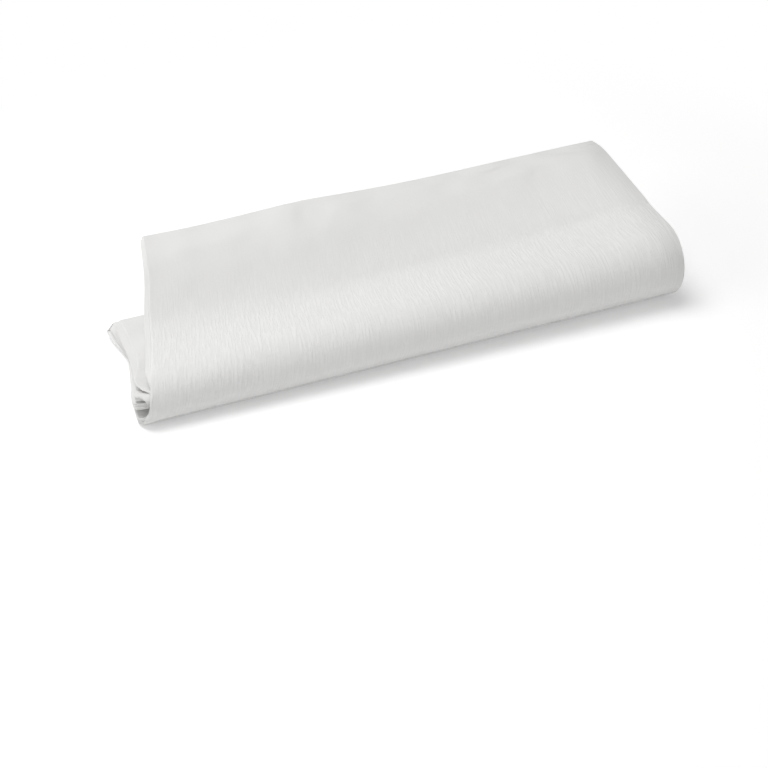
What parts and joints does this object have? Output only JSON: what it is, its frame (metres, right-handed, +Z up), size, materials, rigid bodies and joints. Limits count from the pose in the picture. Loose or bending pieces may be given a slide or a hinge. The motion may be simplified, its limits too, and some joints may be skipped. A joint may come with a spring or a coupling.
{
  "type": "folded tablecloth",
  "caption": "White disposable cloth folded into a long flat bundle, with a soft round front fold and a top flap that springs up over the inner panels.",
  "frame": {"origin": "under the middle of the bounding box, on the surface that the cloth lies on", "axes": "+X along the front fold towards its fuller end, +Y from the front fold to the back, +Z up"},
  "size_m": [0.3081, 0.1137, 0.0521],
  "materials": {
    "cloth": "matt white, embossed with fine linen-like streaks"
  },
  "bodies": {
    "root": {"tablecloth": "cloth"}
  },
  "joints": []
}
